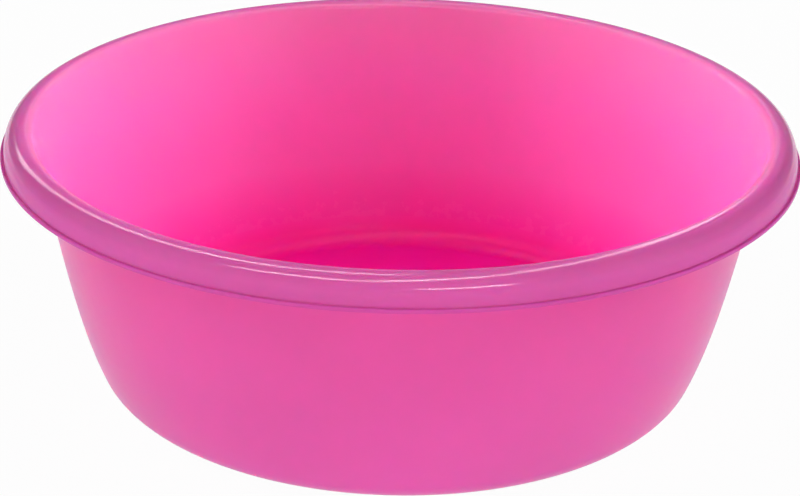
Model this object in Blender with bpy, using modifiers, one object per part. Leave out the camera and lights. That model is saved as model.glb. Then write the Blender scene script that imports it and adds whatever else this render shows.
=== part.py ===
# Round hand basin: one thin-walled plastic moulding with a turned-over rim.
# Metres, +Z up. The origin is on the table, under the middle of the basin.
import math

import bmesh
import bpy
from mathutils import Vector

# Overall sizes
RIM_DIAMETER = 0.320
HEIGHT = 0.1122
WALL = 0.0016

# Bottom: a flat floor inside a rounded knee, on a narrow foot ring
FLOOR_DIAMETER = 0.2222
KNEE_RADIUS = 0.01195
FOOT_HEIGHT = 0.003
FOOT_WIDTH = 0.0022
FOOT_INSET = 0.0065
FOOT_EDGE_RADIUS = 0.0005

# Rim: a rounded crest, a skirt that turns down from it, and a small lip at the skirt's edge
CREST_RADIUS = 0.0042
SKIRT_SPREAD = 0.0081
SKIRT_DROP = 0.0105
LIP_WIDTH = 0.0013
LIP_EDGE_RADIUS = 0.0004

# Moulding mark under the middle of the floor, where the plastic came in
GATE_DIAMETER = 0.0055
GATE_DEPTH = 0.0009

# Curves: how far the wall bows out of a straight line, in degrees at its two ends, and how
# far along the wall each end keeps its direction
LOWER_BOW_DEG = 8.6
UPPER_BOW_DEG = 4.2
LOWER_HANDLE_SHARE = 0.318
UPPER_HANDLE_SHARE = 0.239
# 2 makes the skirt a quarter of an ellipse, and more makes its shoulder fuller
SKIRT_FULLNESS = 2.35

# Smoothness
TURN_STEPS = 64
KNEE_STEPS = 6
WALL_STEPS = 8
CREST_STEPS = 5
SKIRT_STEPS = 8
EDGE_SEGMENTS = 2
GATE_SIDES = 24
MERGE_DISTANCE = 0.00001

# Places that follow from the sizes
FLOOR_TOP = FOOT_HEIGHT + WALL
FLOOR_RADIUS = FLOOR_DIAMETER / 2
LIP_TOP = HEIGHT - SKIRT_DROP
SKIRT_RADIUS = RIM_DIAMETER / 2 - LIP_WIDTH
CREST_TOP_RADIUS = SKIRT_RADIUS - SKIRT_SPREAD


def clear_scene():
    for old in list(bpy.data.objects):
        bpy.data.objects.remove(old, do_unlink=True)


def new_collection(name):
    collection = bpy.data.collections.new(name)
    bpy.context.scene.collection.children.link(collection)
    return collection


def arc(centre, radius, start, end, steps):
    """Points of an arc in the (radius, height) plane, its start and end in radians from +X."""
    angles = [start + (end - start) * i / steps for i in range(steps + 1)]
    return [centre + radius * Vector((math.cos(a), math.sin(a))) for a in angles]


def bowed_line(start, end, start_lean, end_lean, steps):
    """A rising curve whose ends lean out from the vertical by the given angles."""
    span = (end - start).length
    first = start + span * LOWER_HANDLE_SHARE * Vector((math.sin(start_lean), math.cos(start_lean)))
    last = end - span * UPPER_HANDLE_SHARE * Vector((math.sin(end_lean), math.cos(end_lean)))
    points = []
    for i in range(steps + 1):
        t = i / steps
        s = 1 - t
        points.append(s**3 * start + 3 * s * s * t * first + 3 * s * t * t * last + t**3 * end)
    return points


def shoulder(top, spread, drop, steps):
    """The skirt's outer side: a superellipse from level at the crest to upright at the lip."""
    points = []
    for i in range(steps + 1):
        angle = math.radians(90) * (1 - i / steps)
        across = max(math.cos(angle), 0) ** (2 / SKIRT_FULLNESS)
        up = max(math.sin(angle), 0) ** (2 / SKIRT_FULLNESS)
        points.append(Vector((top.x + spread * across, top.y - drop + drop * up)))
    return points


def joined(*lines):
    """One list of points from several that meet end to end."""
    points = []
    for line in lines:
        for point in line:
            if not points or (point - points[-1]).length > MERGE_DISTANCE:
                points.append(point)
    return points


def basin_line():
    """The side of the plastic that faces in and up, from the middle of the floor to the lip."""
    knee_centre = Vector((FLOOR_RADIUS, FLOOR_TOP + KNEE_RADIUS))
    crest_centre = Vector((CREST_TOP_RADIUS, HEIGHT - CREST_RADIUS))
    across = crest_centre - knee_centre
    # Lean of the straight line that would touch the knee and the crest
    lean = math.atan2(across.x, across.y)
    lean -= math.asin((KNEE_RADIUS + CREST_RADIUS) / across.length)
    lower_lean = lean + math.radians(LOWER_BOW_DEG)
    upper_lean = lean + math.radians(UPPER_BOW_DEG)

    floor = [Vector((0, FLOOR_TOP)), Vector((FLOOR_RADIUS, FLOOR_TOP))]
    knee = arc(knee_centre, KNEE_RADIUS, -math.radians(90), -lower_lean, KNEE_STEPS)
    crest = arc(crest_centre, CREST_RADIUS, math.radians(180) - upper_lean, math.radians(90), CREST_STEPS)
    wall = bowed_line(knee[-1], crest[0], lower_lean, upper_lean, WALL_STEPS)
    skirt = shoulder(crest[-1], SKIRT_SPREAD, SKIRT_DROP, SKIRT_STEPS)
    lip = [Vector((RIM_DIAMETER / 2, LIP_TOP))]
    return joined(floor, knee, wall, crest, skirt, lip)


def foot_line():
    """Section of the foot ring, sunk half a wall into the floor, down its outer side and back up."""
    outer = FLOOR_RADIUS - FOOT_INSET
    inner = outer - FOOT_WIDTH
    top = FOOT_HEIGHT + WALL / 2
    r = FOOT_EDGE_RADIUS
    outer_edge = arc(Vector((outer - r, r)), r, 0, -math.radians(90), EDGE_SEGMENTS)
    inner_edge = arc(Vector((inner + r, r)), r, -math.radians(90), -math.radians(180), EDGE_SEGMENTS)
    outer_top = Vector((outer, top))
    inner_top = Vector((inner, top))
    return joined([outer_top], outer_edge, inner_edge, [inner_top, outer_top])


def turned(name, points, collection):
    """A profile of (radius, height) points turned once round the vertical axis."""
    mesh = bpy.data.meshes.new(name)
    bm = bmesh.new()
    corners = [bm.verts.new((p.x, 0, p.y)) for p in points]
    for a, b in zip(corners, corners[1:]):
        bm.edges.new((a, b))
    bmesh.ops.remove_doubles(bm, verts=bm.verts, dist=MERGE_DISTANCE)
    bm.to_mesh(mesh)
    bm.free()
    body = bpy.data.objects.new(name, mesh)
    collection.objects.link(body)
    screw = body.modifiers.new("turn", "SCREW")
    screw.axis = "Z"
    screw.steps = TURN_STEPS
    screw.render_steps = TURN_STEPS
    screw.use_merge_vertices = True
    screw.merge_threshold = MERGE_DISTANCE
    screw.use_smooth_shade = True
    return body


def hide_tool(tool):
    tool.hide_render = True
    tool.display_type = "WIRE"


def make_foot(collection):
    foot = turned("foot_ring_form", foot_line(), collection)
    hide_tool(foot)
    return foot


def make_gate(collection):
    """A short round stub under the middle of the floor, sunk half a wall into it."""
    depth = GATE_DEPTH + WALL / 2
    mesh = bpy.data.meshes.new("gate_form")
    bm = bmesh.new()
    bmesh.ops.create_cone(
        bm,
        cap_ends=True,
        segments=GATE_SIDES,
        radius1=GATE_DIAMETER / 2,
        radius2=GATE_DIAMETER / 2,
        depth=depth,
    )
    bm.to_mesh(mesh)
    bm.free()
    gate = bpy.data.objects.new("gate_form", mesh)
    gate.location = (0, 0, FOOT_HEIGHT - GATE_DEPTH + depth / 2)
    collection.objects.link(gate)
    hide_tool(gate)
    return gate


def join_to(body, tool):
    union = body.modifiers.new("join " + tool.name, "BOOLEAN")
    union.operation = "UNION"
    union.solver = "EXACT"
    union.object = tool


def pink_plastic():
    """Glossy pink polypropylene that lets some light through."""
    material = bpy.data.materials.new("pink_plastic")
    material.use_nodes = True
    shader = material.node_tree.nodes["Principled BSDF"]
    shader.inputs["Base Color"].default_value = (0.87, 0.075, 0.36, 1.0)
    shader.inputs["Roughness"].default_value = 0.22
    shader.inputs["Metallic"].default_value = 0.0
    material.diffuse_color = (0.87, 0.075, 0.36, 1.0)
    return material


def make_basin(collection, tools):
    basin = turned("basin", basin_line(), collection)
    shell = basin.modifiers.new("wall", "SOLIDIFY")
    shell.thickness = WALL
    shell.offset = -1
    shell.use_even_offset = True
    edges = basin.modifiers.new("lip edges", "BEVEL")
    edges.width = LIP_EDGE_RADIUS
    edges.segments = EDGE_SEGMENTS
    edges.limit_method = "ANGLE"
    edges.angle_limit = math.radians(60)
    join_to(basin, make_foot(tools))
    join_to(basin, make_gate(tools))
    basin.data.materials.append(pink_plastic())
    return basin


def main():
    clear_scene()
    parts = new_collection("hand_basin")
    tools = new_collection("joined_forms")
    make_basin(parts, tools)


main()
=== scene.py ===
# Looks of a round hand basin of glossy, slightly see-through pink plastic, on a white studio floor.
# Metres, +Z up. The camera stands in front of the basin, towards -Y.
import math

import bmesh
import bpy
from mathutils import Matrix, Vector
from mathutils.geometry import interpolate_bezier

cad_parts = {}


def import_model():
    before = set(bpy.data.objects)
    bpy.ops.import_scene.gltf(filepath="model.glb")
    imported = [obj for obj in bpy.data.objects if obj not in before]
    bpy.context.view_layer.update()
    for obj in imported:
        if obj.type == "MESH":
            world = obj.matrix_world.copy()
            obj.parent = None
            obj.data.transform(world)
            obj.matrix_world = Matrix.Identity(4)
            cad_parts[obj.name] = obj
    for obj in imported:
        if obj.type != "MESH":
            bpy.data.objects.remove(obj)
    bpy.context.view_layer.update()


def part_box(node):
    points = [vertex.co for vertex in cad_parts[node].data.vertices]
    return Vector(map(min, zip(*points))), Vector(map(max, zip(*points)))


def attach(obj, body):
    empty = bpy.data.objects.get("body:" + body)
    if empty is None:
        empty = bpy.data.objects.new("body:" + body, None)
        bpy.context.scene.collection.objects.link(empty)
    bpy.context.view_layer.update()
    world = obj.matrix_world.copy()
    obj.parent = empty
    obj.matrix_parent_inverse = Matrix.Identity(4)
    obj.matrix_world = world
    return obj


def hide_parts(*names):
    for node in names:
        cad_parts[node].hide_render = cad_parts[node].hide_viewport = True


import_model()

# Basin
# One injection moulding of polypropylene, 1.6 mm thick: a flat floor on a foot ring, a rounded knee, a
# sloping wall, and a rim turned over into a skirt with a lip. It is drawn as half a section, turned round
# the upright axis and given its thickness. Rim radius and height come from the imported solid's own box.
basin_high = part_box("basin")[1]
rim_radius = basin_high.x
height = basin_high.z
wall = 0.0016
foot_height = 0.003
foot_inset = 0.0065
foot_width = 0.0022
foot_edge_radius = 0.0005
gate_radius = 0.00275
gate_depth = 0.0009
floor_radius = 0.1111
floor_ring_radius = 0.05
knee_radius = 0.01195
crest_radius = 0.0042
skirt_spread = 0.0081
skirt_drop = 0.0105
lip_width = 0.0013
lip_edge_radius = 0.0004

# How far the wall bows out of a straight line at its two ends, and how far each end keeps its direction
lower_bow = math.radians(8.6)
upper_bow = math.radians(4.2)
lower_handle_share = 0.318
upper_handle_share = 0.239
# 2 makes the skirt a quarter of an ellipse, and more makes its shoulder fuller
skirt_fullness = 2.35

# Steps round the turn and along each stretch of the section
turn_steps = 256
knee_steps = 12
wall_steps = 24
crest_steps = 12
skirt_steps = 24
edge_steps = 3
quarter = math.radians(90)
# Corners nearer than the first are merged, and places are compared with the second to spare
merge_distance = 0.000005
hair = 0.00001

foot_outer = floor_radius - foot_inset
foot_inner = foot_outer - foot_width
floor_top = foot_height + wall
lip_top = height - skirt_drop
crest_top = rim_radius - lip_width - skirt_spread
knee_centre = Vector((floor_radius, floor_top + knee_radius))
crest_centre = Vector((crest_top, height - crest_radius))

# Lean from upright of the straight line that would touch the knee and the crest, and of the wall's two ends
across = crest_centre - knee_centre
lean = math.atan2(across.x, across.y) - math.asin((knee_radius + crest_radius) / across.length)
lower_lean = lean + lower_bow
upper_lean = lean + upper_bow


def put(line, point):
    """Carries a line of edges on to one more point in the section plane."""
    new = line.verts.new((point[0], 0, point[1]))
    line.verts.ensure_lookup_table()
    if len(line.verts) > 1:
        line.edges.new((line.verts[-2], new))


# From the middle of the floor, with rings for the gate mark and the foot, up to the lip
section = bmesh.new()
for radius in (0, gate_radius, floor_ring_radius, foot_inner, foot_outer, floor_radius):
    put(section, (radius, floor_top))
for i in range(1, knee_steps + 1):
    turn = -quarter + (quarter - lower_lean) * i / knee_steps
    put(section, knee_centre + knee_radius * Vector((math.cos(turn), math.sin(turn))))

wall_start = knee_centre + knee_radius * Vector((math.cos(lower_lean), -math.sin(lower_lean)))
wall_end = crest_centre + crest_radius * Vector((-math.cos(upper_lean), math.sin(upper_lean)))
span = (wall_end - wall_start).length
first_handle = wall_start + lower_handle_share * span * Vector((math.sin(lower_lean), math.cos(lower_lean)))
last_handle = wall_end - upper_handle_share * span * Vector((math.sin(upper_lean), math.cos(upper_lean)))
wall_line = interpolate_bezier(wall_start, first_handle, last_handle, wall_end, wall_steps + 1)
for point in wall_line[1:]:
    put(section, point)

for i in range(1, crest_steps + 1):
    turn = math.pi - upper_lean - (quarter - upper_lean) * i / crest_steps
    put(section, crest_centre + crest_radius * Vector((math.cos(turn), math.sin(turn))))
for i in range(1, skirt_steps + 1):
    turn = quarter * i / skirt_steps
    out = skirt_spread * max(math.sin(turn), 0) ** (2 / skirt_fullness)
    down = skirt_drop * (1 - max(math.cos(turn), 0) ** (2 / skirt_fullness))
    put(section, (crest_top + out, height - down))
put(section, (rim_radius, lip_top))

bmesh.ops.spin(
    section,
    geom=section.verts[:] + section.edges[:],
    cent=(0, 0, 0),
    axis=(0, 0, 1),
    angle=math.tau,
    steps=turn_steps,
    use_merge=True,
)
bmesh.ops.remove_doubles(section, verts=section.verts, dist=merge_distance)
bmesh.ops.recalc_face_normals(section, faces=section.faces)
inner_side = section.faces[:]
bmesh.ops.solidify(section, geom=inner_side, thickness=wall)

# Which finish, with its painted light and shade, goes where: the numbers follow the order in which the
# finishes are added below
inside, outside, rim, bottom, skirt = range(5)
# The radius from which the crest has the rim's gloss and painted light, and the one from which the skirt
# hangs down
gloss_start = 0.1495
skirt_start = 0.1576
for face in section.faces:
    face.material_index = outside
for face in inner_side:
    middle = face.calc_center_median()
    if middle.xy.length > skirt_start:
        face.material_index = skirt
    elif middle.xy.length > gloss_start:
        face.material_index = rim
    elif middle.z < knee_centre.y:
        face.material_index = bottom
    else:
        face.material_index = inside
bmesh.ops.recalc_face_normals(section, faces=section.faces)

# A face looks down if its normal's upward part is under the first. Edges sharper than the crease angle are
# rounded, and those still sharper than the smooth angle stay crisp.
facing_down = -0.9
crease_angle = math.radians(60)
smooth_angle = math.radians(40)


def under_floor(inner, outer):
    """The underside faces of the floor between two radii."""
    found = []
    for face in section.faces:
        middle = face.calc_center_median()
        if face.normal.z < facing_down and inner < middle.xy.length < outer and middle.z < floor_top:
            found.append(face)
    return found


def pull_down(faces, depth):
    """Extrudes faces straight down and gives back the height of the new ones."""
    grown = bmesh.ops.extrude_face_region(section, geom=faces)["geom"]
    corners = [v for v in grown if isinstance(v, bmesh.types.BMVert)]
    bmesh.ops.delete(section, geom=faces, context="FACES")
    bmesh.ops.translate(section, verts=corners, vec=(0, 0, -depth))
    return min(v.co.z for v in corners)


def round_over(is_there, radius):
    """Rounds the sharp edges whose two ends both pass a test of their place."""
    sharp = [e for e in section.edges if e.calc_face_angle(0) > crease_angle]
    edges = [e for e in sharp if all(is_there(v.co) for v in e.verts)]
    bmesh.ops.bevel(
        section, geom=edges, offset=radius, segments=edge_steps, profile=0.5, affect="EDGES", material=-1
    )


# The gate mark first, as the foot ring then goes lower
pull_down(under_floor(0, gate_radius), gate_depth)
foot_level = pull_down(under_floor(foot_inner, foot_outer), foot_height)
round_over(lambda place: place.z < foot_level + hair, foot_edge_radius)
round_over(lambda place: place.xy.length > rim_radius - hair, lip_edge_radius)
# The lip takes the skirt's finish, which carries the lip's painted shade.
for face in section.faces:
    if face.calc_center_median().xy.length > rim_radius - lip_width:
        face.material_index = skirt

basin_mesh = bpy.data.meshes.new("basin_body")
section.to_mesh(basin_mesh)
section.free()
basin_mesh.shade_smooth()
basin_mesh.set_sharp_from_angle(angle=smooth_angle)
basin = bpy.data.objects.new("basin_body", basin_mesh)
bpy.context.scene.collection.objects.link(basin)


def new_node(tree, kind, values, operation=None):
    """Adds a shader node. Each input named in values gets a number, or a link from another node's output."""
    node = tree.nodes.new("ShaderNode" + kind)
    if operation:
        node.operation = operation
    for name, value in values.items():
        if isinstance(value, bpy.types.NodeSocket):
            tree.links.new(value, node.inputs[name])
        else:
            node.inputs[name].default_value = value
    return node


def worked_out(tree, operation, first, second=0):
    """What a Math node makes of two numbers or outputs."""
    return new_node(tree, "Math", {0: first, 1: second}, operation).outputs[0]


def polypropylene(name, tints_with_painted_light_and_shade, roughness, reflection, across=False):
    """Glossy plastic that lets light in. Each colour stop comes with its height, or its radius if across,
    and the stops carry painted light and shade. The roughness is a pair, at the bottom of the basin and at
    its top."""
    plastic = bpy.data.materials.new(name)
    plastic.use_nodes = True
    tree = plastic.node_tree
    shader = tree.nodes["Principled BSDF"]
    spot = tree.nodes.new("ShaderNodeTexCoord").outputs["Object"]

    reach = rim_radius if across else height
    flat = new_node(tree, "VectorMath", {0: spot, 1: (1, 1, 0) if across else (0, 0, 1)}, "MULTIPLY")
    away = new_node(tree, "VectorMath", {0: flat.outputs["Vector"]}, "LENGTH")
    ramp = new_node(tree, "ValToRGB", {0: worked_out(tree, "DIVIDE", away.outputs["Value"], reach)})
    stops = ramp.color_ramp.elements
    for i, (where, tint_with_painted_light_and_shade) in enumerate(tints_with_painted_light_and_shade):
        stop = stops[i] if i < 2 else stops.new(where / reach)
        stop.position = where / reach
        stop.color = (*tint_with_painted_light_and_shade, 1)

    # The pigment is not mixed quite evenly
    cloud = new_node(tree, "TexNoise", {"Vector": spot, "Scale": 14, "Detail": 3})
    uneven = new_node(tree, "MapRange", {"Value": cloud.outputs[0], "To Min": 0.93, "To Max": 1.07})
    pigment = new_node(tree, "VectorMath", {0: ramp.outputs["Color"], "Scale": uneven.outputs[0]}, "SCALE")
    tree.links.new(pigment.outputs["Vector"], shader.inputs["Base Color"])

    # Fine scuffs break the gloss a little, more so low down where the basin is stood and scrubbed
    grain = new_node(tree, "TexNoise", {"Vector": spot, "Scale": 240, "Detail": 6})
    scuffs = new_node(tree, "MapRange", {"Value": grain.outputs[0], "To Min": 0.85, "To Max": 1.15})
    parts = new_node(tree, "SeparateXYZ", {0: spot})
    gloss = new_node(tree, "MapRange", {"Value": parts.outputs["Z"], "From Max": height})
    gloss.inputs["To Min"].default_value = roughness[0]
    gloss.inputs["To Max"].default_value = roughness[1]
    worn = worked_out(tree, "MULTIPLY", gloss.outputs[0], scuffs.outputs[0])
    tree.links.new(worn, shader.inputs["Roughness"])

    # Faint waves left where the moulding cooled
    waves = new_node(tree, "TexNoise", {"Vector": spot, "Scale": 22, "Detail": 1})
    swell = new_node(tree, "Bump", {"Height": waves.outputs[0], "Strength": 0.5, "Distance": 0.0002})
    tree.links.new(swell.outputs["Normal"], shader.inputs["Normal"])

    shader.inputs["IOR"].default_value = 1.49
    shader.inputs["Specular IOR Level"].default_value = reflection
    shader.inputs["Subsurface Weight"].default_value = 1.0
    shader.inputs["Subsurface Radius"].default_value = (1.0, 0.25, 0.55)
    shader.inputs["Subsurface Scale"].default_value = 0.003
    return plastic


# The inside is painted deep red-pink on the floor as painted shade, where little light falls, and paler up
# the wall as painted light, where more light comes through. The colours of inside and outside are one
# plastic and differ only as painted light and shade. The two heights part way up and the radii across the
# rim are where the photo's colour changes.
lower_painted_shade_height = 0.040
upper_painted_shade_height = 0.080
inside_tints_painted_shade = (
    (floor_top, (0.99, 0.005, 0.30)),
    (knee_centre.y, (0.96, 0.040, 0.425)),
    (lower_painted_shade_height, (0.89, 0.120, 0.500)),
    (upper_painted_shade_height, (0.85, 0.152, 0.500)),
    (height, (0.83, 0.185, 0.460)),
)
# The outside is painted a little paler towards the bottom: painted light from the white floor.
outside_tints_painted_light = (
    (0, (0.79, 0.14, 0.52)),
    (height, (0.79, 0.11, 0.435)),
)
# Across the rim the colour is painted: lighter at the crest's inner edge as painted light coming through the
# crest, and darker at the lip as painted shade along its edge.
crest_painted_light_start = 0.1490
crest_painted_light_end = 0.1510
lip_painted_shade_start = 0.1586
lip_painted_shade_end = 0.1590
rim_tints_painted_light_and_shade = (
    (crest_painted_light_start, (0.88, 0.21, 0.523)),
    (crest_painted_light_end, (0.80, 0.147, 0.482)),
    (lip_painted_shade_start, (0.79, 0.147, 0.492)),
    (lip_painted_shade_end, (0.68, 0.104, 0.430)),
)
finishes = (
    polypropylene("pink_inside_painted_shade", inside_tints_painted_shade, roughness=(0.30, 0.12), reflection=0.15),
    polypropylene("pink_outside_painted_light", outside_tints_painted_light, roughness=(0.30, 0.30), reflection=0.10),
    polypropylene("pink_rim_painted_light", rim_tints_painted_light_and_shade, roughness=(0.12, 0.12), reflection=0.20, across=True),
    polypropylene("pink_floor_painted_shade", inside_tints_painted_shade, roughness=(0.35, 0.35), reflection=0.05),
    polypropylene("pink_skirt_painted_shade", rim_tints_painted_light_and_shade, roughness=(0.15, 0.15), reflection=0.04, across=True),
)
for finish in finishes:
    basin_mesh.materials.append(finish)
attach(basin, "root")
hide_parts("basin")

# Floor
# A sheet of matt white board, so wide that its edge is out of the picture. The camera and the gloss see it
# as almost plain white, and what is left of its paint carries the basin's soft shadow.
board_radius = 6
board_sides = 96
plain_share = 0.97
floor_mesh = bpy.data.meshes.new("floor")
sheet = bmesh.new()
bmesh.ops.create_circle(sheet, cap_ends=True, segments=board_sides, radius=board_radius)
sheet.to_mesh(floor_mesh)
sheet.free()
floor = bpy.data.objects.new("floor", floor_mesh)
bpy.context.scene.collection.objects.link(floor)

board = bpy.data.materials.new("white_board")
board.use_nodes = True
tree = board.node_tree
paint = tree.nodes["Principled BSDF"]
paint.inputs["Base Color"].default_value = (0.9, 0.9, 0.9, 1)
paint.inputs["Roughness"].default_value = 0.7
paint.inputs["Specular IOR Level"].default_value = 0.2
glow = new_node(tree, "Emission", {"Color": (1, 1, 1, 1), "Strength": 1.0})
path = tree.nodes.new("ShaderNodeLightPath")
seen = worked_out(tree, "MAXIMUM", path.outputs["Is Camera Ray"], path.outputs["Is Glossy Ray"])
seen = worked_out(tree, "MAXIMUM", seen, path.outputs["Is Transmission Ray"])
mix = new_node(tree, "MixShader", {0: worked_out(tree, "MULTIPLY", seen, plain_share)})
tree.links.new(paint.outputs[0], mix.inputs[1])
tree.links.new(glow.outputs[0], mix.inputs[2])
tree.links.new(mix.outputs[0], tree.nodes["Material Output"].inputs["Surface"])
floor_mesh.materials.append(board)

# Studio
# White all round for the camera. The world is two wide soft boxes at the sides, a faint one in front and low
# fill at the front corners. Lamps are a low one in front, two over the bowl, and the strips that the rim
# mirrors.
side_light = 3.2
front_light = 0.23
corner_light = 2.3
mirrored_back_light = 0.25
# Soft edges of the boxes. Round the basin they go from -1 in front to 1 behind, and upwards from 0 at the
# horizon to 1 overhead.
front_edge = (-0.92, -0.78)
corner_edge = (-0.60, -0.40)
back_edge = (0.40, 0.60)
low_edge = (0.30, 0.38)
front_bottom_edge = (0.53, 0.61)
top_edge = (0.72, 0.80)
mirrored_top_edge = (0.15, 0.50)
shortest_level = 0.001

world = bpy.data.worlds.new("studio")
bpy.context.scene.world = world
world.use_nodes = True
tree = world.node_tree


def past(value, edge):
    """0 before a soft edge and 1 past it."""
    step = new_node(tree, "MapRange", {"Value": value, "From Min": edge[0], "From Max": edge[1]})
    step.interpolation_type = "SMOOTHSTEP"
    return step.outputs[0]


def before(value, edge):
    """1 before a soft edge and 0 past it."""
    return worked_out(tree, "SUBTRACT", 1.0, past(value, edge))


def between(value, start_edge, end_edge):
    """1 between two soft edges and 0 outside them."""
    return worked_out(tree, "SUBTRACT", past(value, start_edge), past(value, end_edge))


def product(first, second, third):
    """Three numbers or outputs multiplied."""
    return worked_out(tree, "MULTIPLY", worked_out(tree, "MULTIPLY", first, second), third)


direction = tree.nodes.new("ShaderNodeTexCoord").outputs["Generated"]
x, y, z = new_node(tree, "SeparateXYZ", {0: direction}).outputs
squares = worked_out(tree, "ADD", worked_out(tree, "MULTIPLY", x, x), worked_out(tree, "MULTIPLY", y, y))
level = worked_out(tree, "MAXIMUM", worked_out(tree, "SQRT", squares), shortest_level)
behind = worked_out(tree, "DIVIDE", y, level)

sides = product(between(behind, corner_edge, back_edge), between(z, low_edge, top_edge), side_light)
front = product(before(behind, front_edge), between(z, front_bottom_edge, top_edge), front_light)
corners = product(between(behind, front_edge, corner_edge), before(z, low_edge), corner_light)
light = worked_out(tree, "ADD", worked_out(tree, "ADD", sides, front), corners)
mirrored = product(past(behind, back_edge), mirrored_back_light, before(z, mirrored_top_edge))

# Of the world, the gloss mirrors only a faint glow from behind. Where it is seen directly it is white.
path = tree.nodes.new("ShaderNodeLightPath")
glossy = path.outputs["Is Glossy Ray"]
unmirrored = worked_out(tree, "SUBTRACT", 1.0, glossy)
light = worked_out(tree, "MULTIPLY", light, unmirrored)
light = worked_out(tree, "ADD", light, worked_out(tree, "MULTIPLY", mirrored, glossy))
plain = worked_out(tree, "MAXIMUM", path.outputs["Is Camera Ray"], path.outputs["Is Transmission Ray"])
background = tree.nodes["Background"]
background.inputs["Color"].default_value = (1, 1, 1, 1)
tree.links.new(worked_out(tree, "MAXIMUM", light, plain), background.inputs["Strength"])


def lamp_between(name, start, end, width, radiance, aim=(0, 0, height)):
    """A rectangular lamp whose long middle line runs between two places, turned to face its aim."""
    start, end, aim = Vector(start), Vector(end), Vector(aim)
    lamp = bpy.data.lights.new(name, "AREA")
    lamp.shape = "RECTANGLE"
    lamp.size = (end - start).length
    lamp.size_y = width
    lamp.energy = radiance * math.pi * lamp.size * width
    box = bpy.data.objects.new(name, lamp)
    middle = (start + end) / 2
    along = (end - start).normalized()
    facing = middle - aim
    facing = (facing - facing.dot(along) * along).normalized()
    turn = Matrix((along, facing.cross(along), facing)).transposed().to_4x4()
    box.matrix_world = Matrix.Translation(middle) @ turn
    box.visible_camera = False
    bpy.context.scene.collection.objects.link(box)
    return box


# Two small soft lamps over the bowl, back to back, light its inner sides
for side in (-1, 1):
    inner_lamp = lamp_between(
        "inner_lamp", (0, -0.06, 0.20), (0, 0.04, 0.20), width=0.06, radiance=14.0, aim=(side, 0, -0.14)
    )
    inner_lamp.visible_glossy = False

# A low wide lamp in front lights the outside of the wall
low_lamp = lamp_between(
    "low_lamp", (-0.45, -0.90, 0.05), (0.45, -0.90, 0.05), width=0.10, radiance=7.2, aim=(0, 0, 0.05)
)
low_lamp.visible_glossy = False

# Thin strips overhead and in front, seen only as the bright lines along the rim. Each has its name, its two
# ends, its width and its radiance.
strips = (
    ("left_strip", (-0.84, 1.02, 0.52), (-0.58, 0.76, 0.98), 0.26, 5.0),
    ("upper_left_strip", (-0.58, 0.76, 0.98), (-0.44, 0.46, 1.19), 0.26, 9.0),
    ("back_strip", (-0.44, 0.46, 1.19), (0.02, 0.55, 1.20), 0.20, 14.0),
    ("front_left_strip", (-0.70, -0.46, 1.08), (-0.05, -0.60, 1.20), 0.12, 26.0),
    ("overhead_strip", (-0.05, -0.50, 1.26), (0.30, 0.00, 1.29), 0.10, 36.0),
    ("right_strip", (0.30, 0.00, 1.29), (0.33, 0.66, 1.03), 0.10, 12.0),
    ("back_right_strip", (0.33, 0.66, 1.03), (0.26, 1.12, 0.58), 0.10, 6.0),
    ("front_right_strip", (0.13, -1.15, 0.74), (0.60, -0.98, 0.76), 0.05, 65.0),
)
for name, start, end, width, radiance in strips:
    strip = lamp_between(name, start, end, width, radiance)
    strip.visible_diffuse = False

# Camera
# In front and above, looking 23.5 degrees down through a long lens. The small shifts of the lens and the
# slight roll put the basin where it lies in the photo.
look_down = math.radians(23.538)
camera_roll = math.radians(1.117)
distance = 0.9857
target = Vector((0, 0, 0.061))
camera = bpy.data.cameras.new("camera")
camera.sensor_width = 36
camera.lens = 108
camera.shift_x = 0.0011
camera.shift_y = -0.0192
camera.clip_end = 30
viewer = bpy.data.objects.new("camera", camera)
back = Vector((0, -math.cos(look_down), math.sin(look_down)))
tilt = Matrix.Rotation(quarter - look_down, 4, "X")
roll = Matrix.Rotation(camera_roll, 4, "Z")
viewer.matrix_world = Matrix.Translation(target + distance * back) @ tilt @ roll
bpy.context.scene.collection.objects.link(viewer)
bpy.context.scene.camera = viewer
bpy.context.scene.view_settings.view_transform = "Standard"
